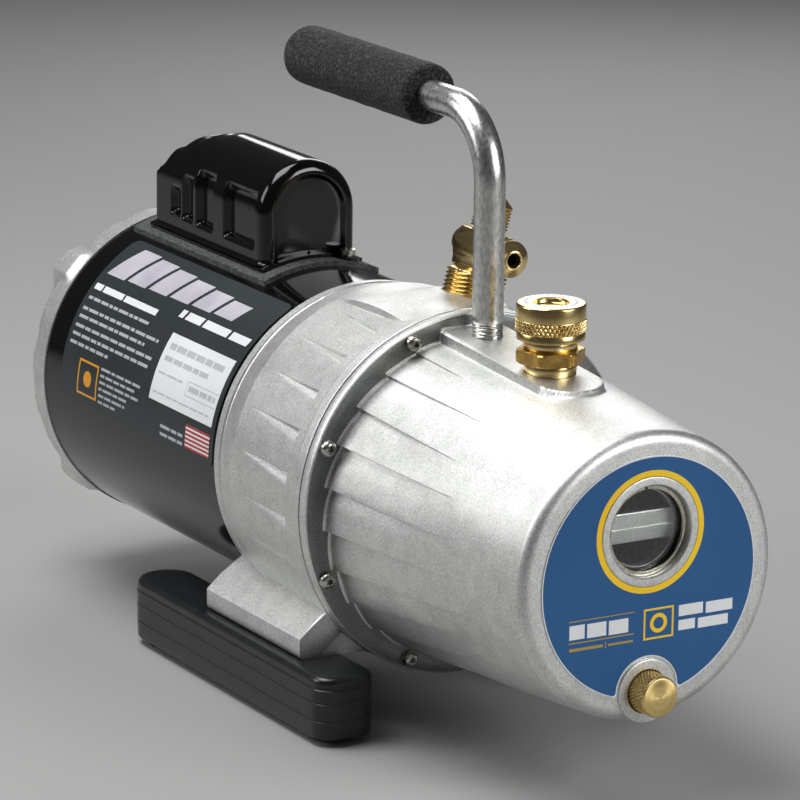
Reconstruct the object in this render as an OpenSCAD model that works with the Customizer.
// Two-stage rotary-vane vacuum pump for refrigeration service, driven by a capacitor motor.
// Every sub-part is drawn on the pump axis: X runs along the shaft towards the sight glass,
// x = 0 is the joint between the centre housing and the oil case, z = 0 is the shaft's centre line.
// on_axis() then moves it into the part's frame: the floor is z = 0 and the whole box is centred in X and Y.

/* [Overall] */
// Height of the shaft's centre line above the floor
axis_h = 94; // [90:0.5:104]
// Outer radius of the motor's shell
shell_r = 71; // [71:0.5:72]
// Outer radius of the joint flange
flange_r = 77.7; // [77.2:0.1:80]
// Rear edge of the motor's shell
shell_rear = -250.3; // [-256:0.1:-248]
// Front edge of the motor's shell
shell_front = -84.7; // [-85:0.1:-84.5]
// Face of the oil case under its label
face_x = 143.2; // [142:0.1:146]
// Face of the drain knob, the front end of the pump
knob_face = 154; // [152:0.5:158]
// Rear face of the motor's end bell
bell_face = -281; // [-284:0.5:-280]

/* [Handle] */
// Diameter of the handle's steel rod
rod_d = 13; // [11:0.1:14]
// Place of the rod's upright along the shaft
rod_x = 18.5; // [16:0.5:24]
// Height of the grip's centre line over the shaft
grip_z = 162.6; // [150:0.1:175]
// Bend radius of the rod's centre line
bend_r = 28.5; // [22:0.5:34]
// Rear end of the foam grip
grip_rear = -137; // [-150:0.5:-120]
// Front end of the foam grip
grip_front = -30; // [-40:0.5:-20]
// Outer radius of the foam grip
grip_r = 13; // [11:0.5:16]

/* [Ports] */
// Place of the exhaust fitting along the shaft
exhaust_x = 67.4; // [60:0.5:76]
// Underside of the exhaust fitting's collar
exhaust_z = 66.6; // [66.2:0.1:67]
// Place of the intake tee along the shaft
tee_x = -30; // [-38:0.5:-24]
// Lean of the intake tee from upright
tee_tilt = 15.8; // [0:0.1:20]
// Turn of the intake tee's branches about its stem
tee_turn = 6; // [0:1:10]
// Height of the sight glass over the shaft
sight_z = 18.8; // [16:0.1:20]
// Radius of the sight opening
sight_r = 18.7; // [17:0.1:19]
// Depth of the drain's centre line under the shaft
drain_z = 46.5; // [45:0.1:48]

/* [Base] */
// Distance from the shaft to a rail's outer side
rail_out = 81; // [78:0.5:86]
// Width of a rail
rail_w = 27.5; // [24:0.5:30]
// Rear end of a rail
rail_rear = -150; // [-160:1:-140]
// Front end of a rail
rail_front = 26; // [20:1:32]
// Depth of a rail's top under the shaft
rail_top = 64.3; // [62:0.1:66]
// Height of a rubber foot
foot_h = 3; // [2:0.5:5]

/* [Pumping stages] */
// Radius of a rotor
rotor_r = 26.5; // [26:0.1:27]
// Bore radius of a stage ring
ring_r = 30; // [30:0.1:30.4]
// Thickness of a vane
vane_t = 4; // [3:0.5:4]
// Outer radius of the cartridge
cartridge_r = 44; // [43:0.5:46]

/* [Hidden] */

$fn = 64;
cut = 1;                                    // overlap of a cutting tool past the face that it cuts
fit = 0.02;                                 // radial clearance of a running fit
rear_end = bell_face - 3;                   // guard rim of the switch, the pump's rear end
axis_x = -(rear_end + knob_face) / 2;       // shift that centres the whole box in X
wall = 4;                                   // wall of the oil case
case_r = 68.2;                              // oil case at its flange
case_slope = 8.1 / 117;                     // taper of the oil case
nose_r = 5;                                 // rounding between the case's side and its face
nose_x = face_x - nose_r;
nose_c = 54;
flange_t = 5.5;
screw_circle = 73.3;
screw_count = 8;
shell_t = 2;
lug_x = bell_face + 10;                     // rear face of the lugs that the through bolts pull on
vent_angles = [-13, 3.5, 20];               // vents in each quarter of the bell
spigot_r = shell_r - shell_t - 0.05;
shaft_r = 7.94;
bearing_r = 20;
bearing_w = 12;
rear_bearing_x = bell_face + 12;
front_bearing_x = -95;
bolt_circle = 65.5;                         // through bolts, inside the shell
bolt_angle = 47;
bolt_r = 2.4;
core_x0 = -205;
core_x1 = -137;
core_bore = 38;
slot_in = 41;
slot_out = 55;
slot_w = 4.5;
slots = 24;
pump_shaft_r = 7;
plate_x = [0, 9, 43, 51, 71, 81];          // faces of the cartridge's plates and rings, in order
ecc = ring_r - rotor_r - 0.1;               // how far a ring's bore sits above the shaft
port_z = 30;                                // inlet port, in the crescent over the rotor
tee_base = flange_r - 0.2;                  // distance from the shaft to the tee's seat
duct_r = 54;                                // distance from the shaft to the suction passage
duct_turn = atan2(duct_r * sin(tee_tilt), duct_r * cos(tee_tilt) - port_z);
flare_r = 7.94;                             // major radius of a 5/8-18 flare thread
cap_z = exhaust_z + 13.7;
pad_slope = 0.08;
pad_half = 15;
cover_x0 = -234.5;
cover_x1 = -131.5;
cover_half = 23.5;
cover_screw_x = [cover_x0 - 5.5, cover_x1 + 5];
arch_z = 92.4;
gasket_r = shell_r + 2.2;
rail_y = rail_out - rail_w / 2;
rail_h = axis_h - rail_top - foot_h;
foot_x = [-134, 9];
rail_bolt_x = [-74, -16];
switch_z = 33;
rocker_x = bell_face + 4;
rocker_tilt = 8;                            // the rocker lies over to one side

function pad_top(x) = 70.5 - pad_slope * (x - rod_x);
function case_at(x) = case_r - case_slope * (x - flange_t);
// Rounded nose of the oil case, from its side to its face, moved inwards by t
function nose(t) = [for (a = [86 : -8.6 : 0])
    [nose_c + (nose_r - t) * sin(a), nose_x + (nose_r - t) * cos(a)]];

module on_axis() translate([axis_x, 0, axis_h]) children();

// A shape turned about the shaft: its outline is a list of [radius, x]
module turned(outline) rotate([0, 90, 0]) rotate_extrude($fn = 96) polygon(outline);

// A cylinder along the shaft from x0 to x1
module bar(x0, x1, r) translate([x0, 0, 0]) rotate([0, 90, 0]) cylinder(r = r, h = x1 - x0);

// A ring along the shaft from x0 to x1
module ring(x0, x1, ro, ri) difference() {
    bar(x0, x1, ro);
    bar(x0 - cut, x1 + cut, ri);
}

// Copies its children n times round the shaft, starting at an angle from the top
module around(n, start = 0) for (i = [0 : n - 1]) rotate([start + i * 360 / n, 0, 0]) children();

// A wedge about the shaft between two angles from the top, opening towards the left side
module wedge(x0, x1, a0, a1, r) translate([x0, 0, 0]) rotate([90, 0, 90]) linear_extrude(x1 - x0)
    polygon(concat([[0, 0]], [for (i = [0 : 4]) let (a = a0 + i * (a1 - a0) / 4) [-r * sin(a), r * cos(a)]]));

// The tee's own frame: its stem runs up its z axis and its front branch along its x axis
module at_tee() translate([tee_x, 0, 0]) rotate([-tee_tilt, 0, 0]) translate([0, 0, tee_base])
    rotate([0, 0, -tee_turn]) children();

module case_outside() turned(concat([[0, 0], [flange_r, 0], [flange_r, flange_t - 0.6],
    [flange_r - 0.6, flange_t], [case_r, flange_t]], nose(0), [[0, face_x]]));

module case_pad() difference() {
    union() {
        translate([3, -pad_half, 40]) cube([77, pad_half * 2, 40]);
        translate([80, 0, 40]) cylinder(r = pad_half, h = 40);
    }
    translate([rod_x, 0, 70.5]) rotate([0, atan(pad_slope), 0]) translate([-60, -40, 0]) cube([200, 80, 40]);
}

// The cast level bar that crosses the sight opening behind the glass
module level_bar() translate([face_x - 12.5, -19, sight_z - 6]) cube([3.5, 38, 12]);

module oil_case() color("silver") on_axis() {
    case_casting();
    level_bar();
}

module case_casting() difference() {
    union() {
        case_outside();
        case_pad();
        translate([110, 0, -drain_z]) bar(0, face_x + 1 - 110, 13.2);
        translate([0, 0, sight_z]) bar(face_x - 4, face_x + 1, 22.4);
    }
    difference() {
        turned(concat([[0, -cut], [case_r - wall - 2, -cut], [case_r - wall - 2, flange_t]],
            nose(wall), [[0, face_x - wall]]));
        translate([face_x - 13, 0, sight_z]) bar(0, 10, 24);
        translate([112, 0, -drain_z]) bar(0, 30, 13.2);
        translate([rod_x, 0, 52]) cylinder(r = 9.2, h = 20);
        translate([exhaust_x, 0, 54]) cylinder(r = 16, h = 20);
    }
    translate([face_x - 8, 0, sight_z]) bar(0, 10, sight_r);
    translate([face_x - 20, 0, sight_z]) bar(0, 14, 15.5);
    translate([face_x - 4, 0, -drain_z]) bar(0, 6, 8.9);
    translate([105, 0, -drain_z]) bar(0, 38, 6);
    translate([rod_x, 0, 56]) cylinder(d = rod_d, h = 30);
    translate([exhaust_x, 0, 50]) cylinder(r = 10.65, h = 30);
    around(screw_count, 22.5) translate([0, 0, screw_circle]) bar(-cut, flange_t + cut, 2.2);
}

module case_gasket() color("dimgray") on_axis() difference() {
    ring(-0.8, 0, flange_r - 0.3, 66);
    around(screw_count, 22.5) translate([0, 0, screw_circle]) bar(-2, 2, 2.2);
}

module flange_screws() color("gainsboro") on_axis() around(screw_count, 22.5)
    translate([0, 0, screw_circle]) difference() {
        union() {
            bar(-14, flange_t, 2);
            bar(flange_t, flange_t + 3.4, 3.5);
        }
        translate([flange_t + 1.6, 0, 0]) rotate([0, 90, 0]) cylinder(r = 1.7, h = 3, $fn = 6);
    }

module pedestal() difference() {
    translate([-86.5, 0, 0]) rotate([90, 0, 90]) linear_extrude(84)
        polygon([[-74.7, -rail_top], [-74.7, -52.8], [-59.5, -42.5], [0, -30], [59.5, -42.5],
            [74.7, -52.8], [74.7, -rail_top]]);
    bar(-90, shell_front, shell_r + 0.3);
}

module centre_housing() color("lightgray") on_axis() difference() {
    union() {
        turned([[0, shell_front], [72.3, shell_front], [72.5, -80], [71.6, -79.4], [71.6, -78], [72.6, -77.4],
            [75.4, -64], [76.9, -8], [flange_r, -6.5], [flange_r, -0.8], [0, -0.8]]);
        bar(-91, -84, spigot_r);
        bar(-97, -84, 26);
        bar(-5, 0, 62);
        pedestal();
        at_tee() translate([0, 0, -7]) cylinder(r1 = 19, r2 = 16.5, h = 7.2);
    }
    difference() {
        bar(-80, -12.8, 70);
        at_tee() translate([0, 0, -30]) cylinder(r = 18, h = 30);
    }
    bar(front_bearing_x - 3, front_bearing_x + bearing_w, bearing_r);
    bar(-84, -79, 16);
    bar(-13, -3, 14);
    bar(-13, cut, 9);
    at_tee() translate([0, 0, -16]) cylinder(r = 13, h = 30);
    at_tee() translate([0, 0, -26]) cylinder(r = 6, h = 30);
    rotate([-tee_tilt, 0, 0]) translate([tee_x, 0, duct_r]) bar(0, 40, 5);
    around(screw_count, 22.5) translate([0, 0, screw_circle]) bar(-15, cut, 2);
    around(4, bolt_angle) translate([0, 0, bolt_circle]) bar(-92, -79, bolt_r);
    around(4, 45) translate([0, 0, 38]) bar(-11, cut, 3);
    for (x = rail_bolt_x, s = [-1, 1]) translate([x, s * rail_y, -rail_top - cut]) cylinder(r = 3, h = 13);
}

module sight_glass() color([0.8, 0.9, 0.95, 0.35]) on_axis() translate([face_x - 6.4, 0, sight_z])
    bar(0, 3, sight_r - 0.05);

module sight_seal() color("black") on_axis() translate([face_x - 8, 0, sight_z]) ring(0, 1.6, sight_r - 0.2, 16);

module sight_retainer() color("gray") on_axis() translate([face_x - 3.4, 0, sight_z]) difference() {
    ring(0, 1.2, sight_r - 0.05, 16.6);
    translate([-cut, -4, 10]) cube([4, 8, 12]);
}

module front_label() color("navy") on_axis() difference() {
    bar(face_x, face_x + 0.6, 49.5);
    translate([0, 0, sight_z]) bar(face_x - cut, face_x + 2, 25);
    translate([0, 0, -drain_z]) bar(face_x - cut, face_x + 2, 14.2);
}

module sight_label() color("orange") on_axis() translate([0, 0, sight_z]) ring(face_x, face_x + 0.65, 25, 22.5);

module drain_knob() color("goldenrod") on_axis() translate([0, 0, -drain_z]) difference() {
    union() {
        bar(124, face_x - 2.4, 5.95);
        bar(face_x - 2.4, knob_face - 0.8, 8.6);
        bar(knob_face - 0.8, knob_face, 8);
    }
    bar(123, 134, 2.5);
    translate([130, 0, -10]) cylinder(r = 1.5, h = 9);
}

module drain_seal() color("black") on_axis() translate([0, 0, -drain_z])
    ring(face_x - 3.9, face_x - 2.4, 8, 6.2);

module hex(d, h) cylinder(d = d, h = h, $fn = 6);

module exhaust_body() color("goldenrod") on_axis() translate([exhaust_x, 0, 0]) difference() {
    union() {
        translate([0, 0, 55]) cylinder(r = 10.65, h = exhaust_z + 3.8 - 55);
        translate([0, 0, exhaust_z + 3.8]) intersection() {
            rotate([0, 0, 12]) hex(29.4, 5.9);
            cylinder(r = 14.2, h = 6);
        }
        translate([0, 0, exhaust_z + 9.7]) cylinder(r = 10.95, h = 3.6);
        translate([0, 0, exhaust_z + 13.3]) cylinder(r = 9.6, h = 9);
    }
    translate([0, 0, 50]) cylinder(r = 7, h = 50);
}

module exhaust_cap() color("goldenrod") on_axis() translate([exhaust_x, 0, cap_z]) difference() {
    union() {
        cylinder(r = 14.45, h = 14.2);
        translate([0, 0, 14.2]) cylinder(r1 = 14.45, r2 = 13.9, h = 0.7);
    }
    translate([0, 0, -cut]) cylinder(r = 9.7, h = cut + 10.9);
    translate([0, 0, 12.9]) cylinder(r = 7, h = 5);
}

module exhaust_cap_seal() color("black") on_axis() translate([exhaust_x, 0, exhaust_z + 22.3])
    difference() {
        cylinder(r = 9.5, h = 2.3);
        translate([0, 0, -cut]) cylinder(r = 6.6, h = 5);
    }

module handle_rod() color("lightsteelblue") on_axis() {
    translate([rod_x, 0, 56]) cylinder(d = rod_d, h = grip_z - bend_r - 56);
    translate([rod_x - bend_r, 0, grip_z - bend_r]) rotate([90, 0, 0])
        rotate_extrude(angle = 90) translate([bend_r, 0]) circle(d = rod_d);
    translate([0, 0, grip_z]) bar(grip_rear + 7, rod_x - bend_r, rod_d / 2);
}

module handle_grip() color([0.15, 0.15, 0.16]) on_axis() translate([0, 0, grip_z]) difference() {
    turned([[0, grip_rear], [4.5, grip_rear + 0.4], [8.6, grip_rear + 2.4], [11.4, grip_rear + 5.8],
        [grip_r - 0.3, grip_rear + 9.5], [grip_r, grip_rear + 13], [grip_r, grip_front - 5],
        [grip_r - 0.8, grip_front - 2.2], [grip_r - 2.6, grip_front - 0.5], [10, grip_front], [0, grip_front]]);
    bar(grip_rear + 7, grip_front + 5, rod_d / 2);
}

// A flare branch along x: neck, thread, plain end and 45 degree nose
module flare_branch(end, r, nose_l) rotate([0, 90, 0]) {
    cylinder(r = r - 1.6, h = end - nose_l - 10);
    translate([0, 0, end - nose_l - 10.6]) cylinder(r = r, h = 10.6);
    translate([0, 0, end - nose_l]) cylinder(r1 = r - 0.6, r2 = r - 0.6 - nose_l, h = nose_l);
}

module intake_tee() color("goldenrod") on_axis() at_tee() difference() {
    union() {
        translate([0, 0, -15.5]) cylinder(r = 13, h = 27);
        translate([-11, -8.5, 11]) cube([22, 17, 17]);
        translate([0, 0, 19.6]) rotate([0, 90, 0]) translate([0, 0, -11]) cylinder(r = 9.4, h = 22);
        translate([0, 0, 21]) flare_branch(30, flare_r, 3.4);
        translate([0, 0, 21]) rotate([0, -90, 0]) flare_branch_up();
        translate([0, 0, 21]) rotate([0, 0, 180]) rotate([0, 90, 0]) cylinder(r = 4.7, h = 18);
    }
    translate([0, 0, -20]) cylinder(r = 6, h = 42);
    translate([0, 0, 15]) cylinder(r = 3, h = 40);
    translate([0, 0, 21]) rotate([0, 90, 0]) cylinder(r = 3, h = 40);
    translate([0, 0, 21]) rotate([0, -90, 0]) cylinder(r = 2, h = 20);
}

// The upper branch, which ends 43.5 above the tee's seat
module flare_branch_up() flare_branch(22.5, flare_r, 3.4);

module at_tee_cap() on_axis() at_tee() translate([0, 0, 21]) rotate([0, -90, 0]) children();

module intake_cap() color("goldenrod") at_tee_cap() difference() {
    union() {
        translate([0, 0, 11.4]) cylinder(r = 6.4, h = 7.6);
        translate([0, 0, 19]) cylinder(r1 = 6.4, r2 = 4.4, h = 1.8);
    }
    translate([0, 0, 11]) cylinder(r = 4.75, h = 8.1);
}

module intake_cap_seal() color("saddlebrown") at_tee_cap() translate([0, 0, 18.02]) difference() {
    cylinder(r = 4.6, h = 1.02);
    translate([0, 0, -cut]) cylinder(r = 2.2, h = 4);
}

module motor_shell() color([0.06, 0.06, 0.07]) on_axis() difference() {
    ring(shell_rear, shell_front, shell_r, shell_r - shell_t);
    for (x = cover_screw_x) translate([x, 16, 50]) cylinder(r = 1.9, h = 40);
}

module motor_label() color([0.2, 0.22, 0.23]) on_axis() intersection() {
    ring(-234, -88, shell_r + 0.35, shell_r);
    wedge(-235, -87, 26.5, 92.5, 90);
}

// A vent through the bell's shoulder, with round ends
module vent() translate([bell_face + 12.5, 0, 56]) {
    translate([-3, -3.5, 0]) cube([6, 7, 22]);
    for (s = [-1, 1]) translate([0, s * 3.5, 0]) cylinder(r = 3, h = 22, $fn = 24);
}

module rear_bell() color("silver") on_axis() difference() {
    union() {
        turned([[0, bell_face], [40, bell_face], [50, bell_face + 1.6], [58, bell_face + 4.8],
            [64.5, bell_face + 9], [69, bell_face + 14], [shell_r, shell_rear - 13], [shell_r, shell_rear],
            [spigot_r, shell_rear], [spigot_r, shell_rear + 6], [0, shell_rear + 6]]);
        around(4, bolt_angle) translate([lug_x, -8, 55]) cube([shell_rear - 0.6 - lug_x, 16, 19.4]);
    }
    difference() {
        turned([[0, bell_face + 4], [40, bell_face + 4], [50, bell_face + 6], [60, bell_face + 12],
            [65, shell_rear - 12], [65, shell_rear + 7], [0, shell_rear + 7]]);
        bar(bell_face, bell_face + 25, 25);
        around(4, bolt_angle) translate([0, 0, bolt_circle]) bar(bell_face, shell_rear, 6);
    }
    bar(rear_bearing_x, 0, bearing_r);
    bar(bell_face + 9, 0, 16);
    around(4, bolt_angle) translate([0, 0, bolt_circle]) bar(bell_face, shell_rear + 8, bolt_r + 0.1);
    around(4, bolt_angle) translate([0, 0, bolt_circle]) bar(bell_face - 2, lug_x, 7.5);
    for (q = [0 : 3], k = vent_angles) rotate([q * 90 + k, 0, 0]) vent();
    translate([bell_face - cut, -14.4, switch_z - 7.2]) cube([8, 28.8, 14.4]);
    translate([0, 0, -switch_z - 2]) bar(bell_face - cut, bell_face + 8, 7);
}

module through_bolts() color("lightgray") on_axis() around(4, bolt_angle)
    translate([0, 0, bolt_circle]) {
        bar(lug_x, -80, bolt_r);
        translate([lug_x - 3, 0, 0]) rotate([0, 90, 0]) hex(9.2, 3);
    }

module cover_solid(t) intersection() {
    translate([cover_x0 - 5, 0, 0]) rotate([90, 0, 90]) linear_extrude(110) union() {
        translate([0, arch_z]) circle(r = cover_half - t);
        translate([-cover_half + t, 55]) square([2 * (cover_half - t), arch_z - 55]);
    }
    rotate([90, 0, 0]) translate([0, 0, -40]) linear_extrude(80) polygon([[cover_x0 + t, 50],
        [cover_x0 + t, 88], [cover_x0 + 4.5 + t, 97 - t], [cover_x0 + 12 + t, 106 - t],
        [cover_x0 + 21 + t, 112.5 - t], [cover_x0 + 32 + t, 116 - t], [cover_x1 - t, 116 - t],
        [cover_x1 - t, 50]]);
}

module capacitor_cover() color([0.05, 0.05, 0.05]) on_axis() difference() {
    union() {
        cover_solid(0);
        intersection() {
            ring(cover_x0 - 2, cover_x1 + 9, gasket_r + 1.6, gasket_r);
            translate([cover_x0 - 2, -25.5, 50]) cube([cover_x1 - cover_x0 + 4, 51, 40]);
        }
        for (x = cover_screw_x) translate([x, 0, 0]) intersection() {
            ring(-9, 9, gasket_r + 1.6, gasket_r);
            translate([0, 16, 50]) cylinder(r = 5, h = 40);
        }
    }
    cover_solid(1.8);
    bar(-300, 0, gasket_r);
    for (x = cover_screw_x) translate([x, 16, 50]) cylinder(r = 2, h = 40);
}

module cover_gasket() color("dimgray") on_axis() difference() {
    intersection() {
        ring(-245, -121, gasket_r, shell_r);
        translate([-245, -28.5, 50]) cube([124, 57, 40]);
    }
    translate([cover_x0 + 2, -21.5, 50]) cube([cover_x1 - cover_x0 - 4, 43, 40]);
    for (x = cover_screw_x) translate([x, 16, 50]) cylinder(r = 2, h = 40);
}

module cover_screws() color("gray") on_axis() for (x = cover_screw_x)
    translate([x, 16, 0]) {
        translate([0, 0, 66]) cylinder(r = 1.9, h = 8);
        translate([0, 0, 73.8]) cylinder(r = 3.4, h = 2.2);
    }

module start_capacitor() color([0.1, 0.1, 0.12]) on_axis() translate([0, 0, arch_z - 0.2]) {
    bar(-201, -137, 18);
    for (s = [-1, 1]) translate([-209, s * 7 - 3, -0.4]) cube([9, 6, 0.8]);
    translate([-176, -5, -21.1]) cube([12, 10, 5.5]);
}

module stator_core() color("slategray") on_axis() difference() {
    ring(core_x0, core_x1, shell_r - shell_t, core_bore);
    around(slots) translate([core_x0 - cut, -slot_w / 2, slot_in])
        cube([core_x1 - core_x0 + 2, slot_w, slot_out - slot_in]);
    around(4, bolt_angle) translate([0, 0, bolt_circle]) bar(core_x0 - cut, core_x1 + cut, bolt_r + 0.2);
}

module stator_winding() color("chocolate") on_axis() {
    ring(core_x0 - 22, core_x0, 58, 41);
    ring(core_x1, core_x1 + 22, 58, 41);
    around(slots) translate([core_x0 - cut, 0.1 - slot_w / 2, slot_in + 0.1])
        cube([core_x1 - core_x0 + 2, slot_w - 0.2, slot_out - slot_in - 0.2]);
}

// A rail: a long bar with a round rear end and a blunter front end, seen from above
module rail_outline() union() {
    translate([rail_rear + rail_w / 2, 0]) circle(d = rail_w);
    translate([rail_rear + rail_w / 2, -rail_w / 2]) square([rail_front - rail_rear - rail_w / 2 - 9, rail_w]);
    translate([rail_front - 20, 9 - rail_w / 2]) square([20, rail_w - 18]);
    for (s = [-1, 1]) translate([rail_front - 9, s * (rail_w / 2 - 9)]) circle(r = 9);
}

module rail(s) translate([0, s * rail_y, -rail_top - rail_h]) difference() {
    linear_extrude(rail_h) rail_outline();
    for (x = rail_bolt_x) translate([x, 0, -cut]) {
        cylinder(r = 3.3, h = rail_h + 2);
        cylinder(r = 6, h = 8);
    }
    for (x = foot_x) translate([x, 0, -cut]) cylinder(r = 3, h = 7);
}

module rail_left() color([0.09, 0.09, 0.1]) on_axis() rail(-1);

module rail_right() color([0.09, 0.09, 0.1]) on_axis() rail(1);

module rail_feet() color([0.05, 0.05, 0.05]) on_axis() for (x = foot_x, s = [-1, 1])
    translate([x, s * rail_y, -axis_h]) {
        cylinder(r1 = 9.4, r2 = 10, h = foot_h);
        translate([0, 0, foot_h]) cylinder(r = 3, h = 5.5);
    }

module rail_bolts() color("gray") on_axis() for (x = rail_bolt_x, s = [-1, 1])
    translate([x, s * rail_y, -rail_top - rail_h]) difference() {
        union() {
            translate([0, 0, 2]) cylinder(r = 5, h = 5);
            translate([0, 0, 7]) cylinder(r = 3, h = rail_h + 4);
        }
        translate([0, 0, cut]) hex(5.8, 4);
    }

// A sealed ball bearing, its rings and shields as one closed ring with grooved faces
module bearing(x0) turned([[shaft_r + fit, x0], [11.5, x0], [12, x0 + 0.8], [16, x0 + 0.8], [16.5, x0],
    [bearing_r, x0], [bearing_r, x0 + bearing_w], [16.5, x0 + bearing_w], [16, x0 + bearing_w - 0.8],
    [12, x0 + bearing_w - 0.8], [11.5, x0 + bearing_w], [shaft_r + fit, x0 + bearing_w]]);

module rear_bearing() color("gray") on_axis() bearing(rear_bearing_x);

module front_bearing() color("gray") on_axis() bearing(front_bearing_x);

module shaft_seal() color([0.1, 0.1, 0.1]) on_axis() ring(-10, -3, 14, pump_shaft_r + fit);

module cartridge_holes() around(4, 45) translate([0, 0, 38]) bar(-20, 100, 3.05);

module cartridge_rear_plate() color("dimgray") on_axis() difference() {
    bar(plate_x[0], plate_x[1], 60);
    bar(-5, 20, pump_shaft_r + fit);
    cartridge_holes();
    translate([0, 0, port_z]) bar(-cut, 20, 3);
    rotate([-tee_tilt, 0, 0]) translate([0, 0, duct_r]) bar(-cut, 5, 5);
    translate([-cut, 0, port_z]) rotate([-duct_turn, 0, 0]) translate([0, -2.2, 0]) cube([5.5, 4.4, 26.4]);
}

module stage_ring(x0, x1) difference() {
    bar(x0, x1, cartridge_r);
    translate([0, 0, ecc]) bar(x0 - cut, x1 + cut, ring_r);
    cartridge_holes();
}

module stage_one_ring() color("gray") on_axis() stage_ring(plate_x[1], plate_x[2]);

module middle_plate() color("dimgray") on_axis() difference() {
    bar(plate_x[2], plate_x[3], cartridge_r);
    bar(plate_x[2] - cut, plate_x[3] + cut, pump_shaft_r + fit);
    cartridge_holes();
    translate([0, 0, port_z]) bar(plate_x[2] - cut, plate_x[3] + cut, 2.5);
}

module stage_two_ring() color("gray") on_axis() stage_ring(plate_x[3], plate_x[4]);

module cartridge_end_plate() color("dimgray") on_axis() difference() {
    bar(plate_x[4], plate_x[5], cartridge_r);
    bar(plate_x[4] - cut, plate_x[5] + cut, pump_shaft_r + fit);
    cartridge_holes();
    translate([0, 0, port_z]) bar(plate_x[4] - cut, plate_x[5] + cut, 2.5);
}

module cartridge_bolts() color("lightgray") on_axis() around(4, 45) translate([0, 0, 38]) difference() {
    union() {
        bar(-10.5, plate_x[5], 3);
        bar(plate_x[5], plate_x[5] + 6, 5);
    }
    translate([plate_x[5] + 2, 0, 0]) rotate([0, 90, 0]) hex(5.8, 5);
}

// Spring-steel reed over the outlet port, its curved stop and its screw
module exhaust_valve() color("steelblue") on_axis() {
    translate([plate_x[5], -5, 13]) cube([0.4, 10, 22]);
    translate([plate_x[5] + 0.4, -5, 13]) cube([1.2, 10, 10]);
    translate([plate_x[5] + 1.6, 0, 17.5]) bar(0, 2.5, 3.2);
}

module switch_housing() color([0.08, 0.08, 0.08]) on_axis() translate([0, 0, switch_z]) difference() {
    union() {
        translate([rear_end, -15.5, -8.5]) cube([3, 31, 17]);
        translate([bell_face, -14.3, -7.1]) cube([16, 28.6, 14.2]);
    }
    translate([rocker_x, -11.9, 0]) rotate([-90, 0, 0]) cylinder(r = 5.6, h = 23.8);
    translate([rear_end - cut, -11.9, -5.4]) cube([9, 23.8, 10.8]);
}

// Rocker of the power switch: a round-backed key on a pin along Y, with two slanted faces
module switch_rocker() color([0.16, 0.16, 0.16]) on_axis() translate([rocker_x, -11.6, switch_z])
    rotate([-90, 0, 0]) rotate([0, 0, rocker_tilt]) linear_extrude(23.2) {
        circle(r = 5);
        polygon([[-5.4, 0], [-5.9, -4.2], [0, -4.2], [0, 4.2], [-5.9, 4.2]]);
    }

module cord_gland() color([0.07, 0.07, 0.07]) on_axis() translate([0, 0, -switch_z - 2]) difference() {
    union() {
        bar(rear_end, bell_face, 10);
        bar(bell_face, bell_face + 10, 6.9);
    }
    bar(rear_end - cut, bell_face + 20, 4);
}

module motor_shaft() color("lightgray") on_axis() bar(bell_face + 10, -56, shaft_r);

module rotor_core() color("darkgray") on_axis() {
    ring(core_x0 + 2, core_x1 - 2, core_bore - 0.4, shaft_r);
    for (x = [core_x0 - 5, core_x1 - 2]) ring(x, x + 7, 35, 24);
}

module cooling_fan() color([0.2, 0.2, 0.2]) on_axis() {
    ring(-254, -242, 13, shaft_r);
    ring(-254, -252, 50, 12);
    around(9) translate([-253, -1, 12]) cube([11, 2, 37]);
}

// Jaws of the shaft coupling: the ring between the hubs, cut by the spider's six legs
module coupling_jaws(start) intersection() {
    difference() {
        ring(-54, -44, 22, 9);
        around(6) translate([-55, -2.7, 0]) cube([12, 5.4, 23]);
    }
    union() for (i = [0 : 2]) wedge(-55, -43, start + i * 120, start + i * 120 + 60, 40);
}

module motor_hub() color("gray") on_axis() {
    ring(-74, -54, 22, shaft_r);
    coupling_jaws(0);
}

module coupling_spider() color("crimson") on_axis() difference() {
    union() {
        bar(-53.9, -44.1, 8.8);
        around(6) translate([-53.9, -2.6, 5]) cube([9.8, 5.2, 16.8]);
    }
    bar(-48, -40, pump_shaft_r + 0.1);
}

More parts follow.
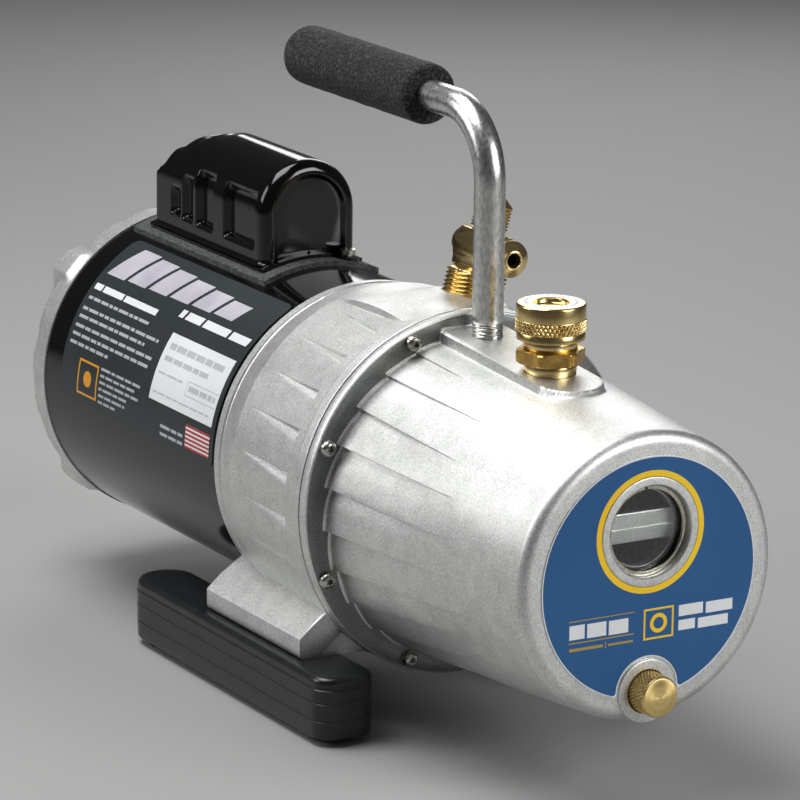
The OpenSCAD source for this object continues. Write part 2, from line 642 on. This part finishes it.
module pump_hub() color("gray") on_axis() {
    ring(-44, -24, 22, pump_shaft_r);
    coupling_jaws(60);
}

module pump_shaft() color("lightgray") on_axis() bar(-46, plate_x[5] + 6, pump_shaft_r);

module pump_rotor(x0, x1) difference() {
    ring(x0 + fit, x1 - fit, rotor_r, pump_shaft_r);
    for (s = [-1, 1]) translate([x0 - cut, s > 0 ? 11 : -28, -vane_t / 2 - fit])
        cube([x1 - x0 + 2, 17, vane_t + 2 * fit]);
}

module rotor_one() color("silver") on_axis() pump_rotor(plate_x[1], plate_x[2]);

module rotor_two() color("silver") on_axis() pump_rotor(plate_x[3], plate_x[4]);

// A vane lies pushed back into its slot: s is the side that it points to
module vane(x0, x1, s) translate([x0 + 2 * fit, s > 0 ? 11.3 : -26.3, -vane_t / 2])
    cube([x1 - x0 - 4 * fit, 15, vane_t]);

module vane_one_left() color("darkslategray") on_axis() vane(plate_x[1], plate_x[2], -1);

module vane_one_right() color("darkslategray") on_axis() vane(plate_x[1], plate_x[2], 1);

module vane_two_left() color("darkslategray") on_axis() vane(plate_x[3], plate_x[4], -1);

module vane_two_right() color("darkslategray") on_axis() vane(plate_x[3], plate_x[4], 1);

centre_housing();
oil_case();
case_gasket();
flange_screws();
sight_glass();
sight_seal();
sight_retainer();
front_label();
sight_label();
drain_knob();
drain_seal();
exhaust_body();
exhaust_cap();
exhaust_cap_seal();
handle_rod();
handle_grip();
intake_tee();
intake_cap();
intake_cap_seal();
motor_shell();
motor_label();
rear_bell();
through_bolts();
capacitor_cover();
cover_gasket();
cover_screws();
start_capacitor();
stator_core();
stator_winding();
rail_left();
rail_right();
rail_feet();
rail_bolts();
rear_bearing();
front_bearing();
shaft_seal();
cartridge_rear_plate();
stage_one_ring();
middle_plate();
stage_two_ring();
cartridge_end_plate();
cartridge_bolts();
exhaust_valve();
switch_housing();
switch_rocker();
cord_gland();
motor_shaft();
rotor_core();
cooling_fan();
motor_hub();
coupling_spider();
pump_hub();
pump_shaft();
rotor_one();
rotor_two();
vane_one_left();
vane_one_right();
vane_two_left();
vane_two_right();
